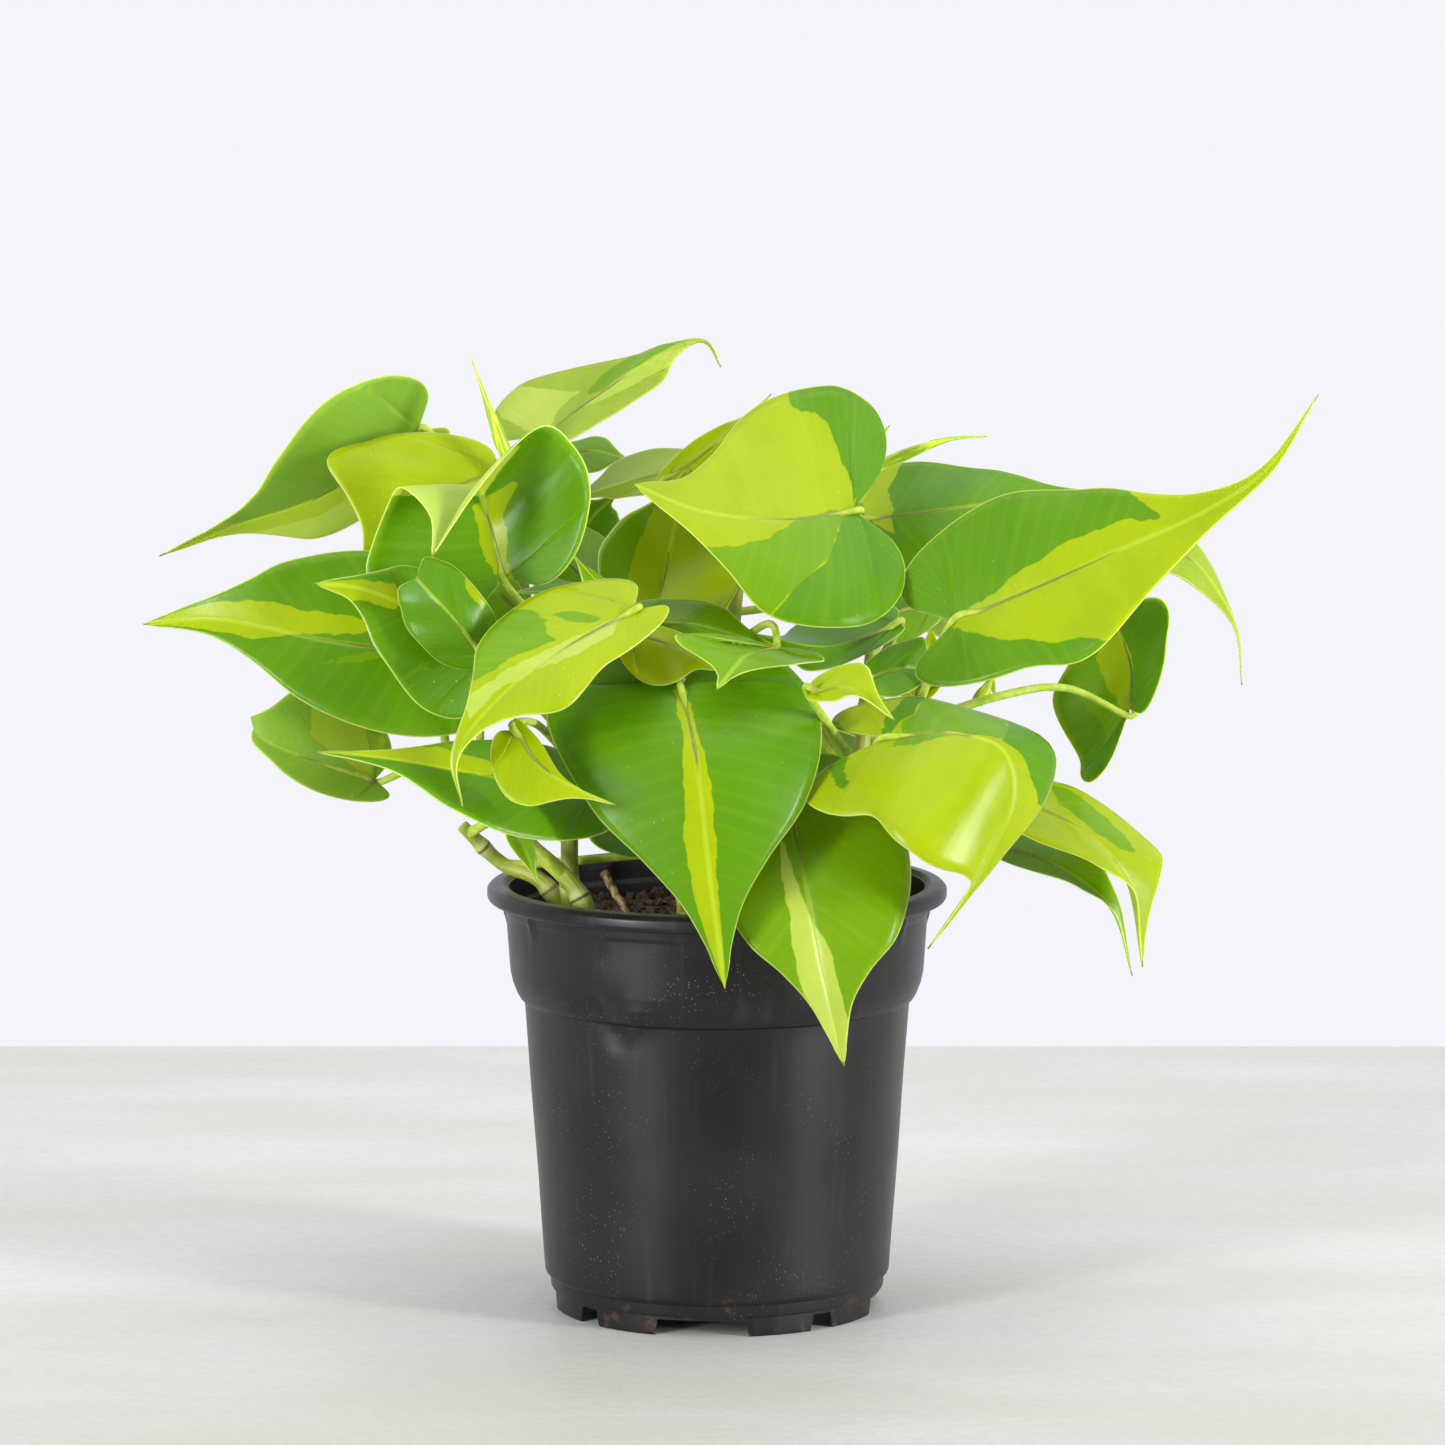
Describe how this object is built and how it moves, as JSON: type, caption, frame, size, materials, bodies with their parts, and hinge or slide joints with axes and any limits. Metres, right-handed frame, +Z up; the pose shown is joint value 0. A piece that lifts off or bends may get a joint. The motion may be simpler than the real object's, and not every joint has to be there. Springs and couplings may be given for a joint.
{
  "type": "potted heart-leaf plant",
  "caption": "Trailing heart-leaf houseplant with lime-striped dark green leaves, growing from a plain round black plastic nursery pot with a rolled lip.",
  "frame": {"origin": "on the surface the pot stands on, under the middle of the whole plant's width and depth, which is the pot's axis to within 2 mm", "axes": "+X to the viewer's right along the plant's widest spread, +Y away from the viewer, +Z up the pot's axis"},
  "size_m": [0.2971, 0.1737, 0.2527],
  "materials": {
    "black_plastic": "moulded black, soft sheen, light dust",
    "potting_mix": "loose bark and coir, damp and dark",
    "stem": "smooth olive green",
    "dry_root": "dry and brown",
    "rolled_leaf": "smooth and glossy",
    "leaf_dark": "deep green, waxy",
    "leaf_mid": "green with lime margins, waxy",
    "leaf_lime": "lime with green patches, waxy",
    "leaf_pale": "pale green, matt underside"
  },
  "bodies": {
    "root": {"nursery_pot": "black_plastic", "potting_mix": "potting_mix", "stem_upright": "stem", "stem_left": "stem", "stem_left_low": "stem", "stem_front": "stem", "stem_centre": "stem", "stem_right": "stem", "stem_right_back": "stem", "stem_back": "stem", "aerial_root": "dry_root", "spear_left": "rolled_leaf", "spear_short": "rolled_leaf", "spear_right": "rolled_leaf", "sheath_right": "rolled_leaf", "leaf_far_left_high": "leaf_pale", "leaf_left_lime": "leaf_lime", "leaf_left_folded": "leaf_dark", "leaf_far_left": "leaf_dark", "leaf_left_round": "leaf_dark", "leaf_left_dark": "leaf_dark", "leaf_low_left": "leaf_pale", "leaf_front_left_lime": "leaf_lime", "leaf_low_left_dark": "leaf_dark", "leaf_front_left_curled": "leaf_lime", "leaf_front_centre": "leaf_dark", "leaf_front_low": "leaf_mid", "leaf_front_right_lime": "leaf_lime", "leaf_crown_lime": "leaf_lime", "leaf_crown_pale": "leaf_pale", "leaf_crown_narrow": "leaf_lime", "leaf_crown_left": "leaf_pale", "leaf_crown_olive": "leaf_mid", "leaf_centre_yellow": "leaf_lime", "leaf_centre_sliver": "leaf_mid", "leaf_inner_lime": "leaf_mid", "leaf_inner_dark": "leaf_dark", "leaf_inner_left": "leaf_mid", "leaf_inner_low": "leaf_dark", "leaf_centre_dark": "leaf_mid", "leaf_centre_lime": "leaf_lime", "leaf_centre_edge": "leaf_mid", "leaf_right_blue": "leaf_dark", "leaf_right_high": "leaf_dark", "leaf_far_right": "leaf_lime", "leaf_right_pendant": "leaf_pale", "leaf_right_hanging": "leaf_dark", "leaf_low_right": "leaf_lime", "leaf_low_right_narrow": "leaf_mid", "leaf_right_curled": "leaf_lime", "leaf_right_shaded": "leaf_dark", "leaf_right_green": "leaf_mid", "leaf_right_yellow": "leaf_lime", "leaf_low_shaded": "leaf_dark", "leaf_low_sliver": "leaf_mid", "leaf_back_high": "leaf_dark", "leaf_back_left": "leaf_mid", "leaf_back_right": "leaf_lime", "leaf_back_low_left": "leaf_lime", "leaf_back_low_right": "leaf_dark"}
  },
  "joints": []
}
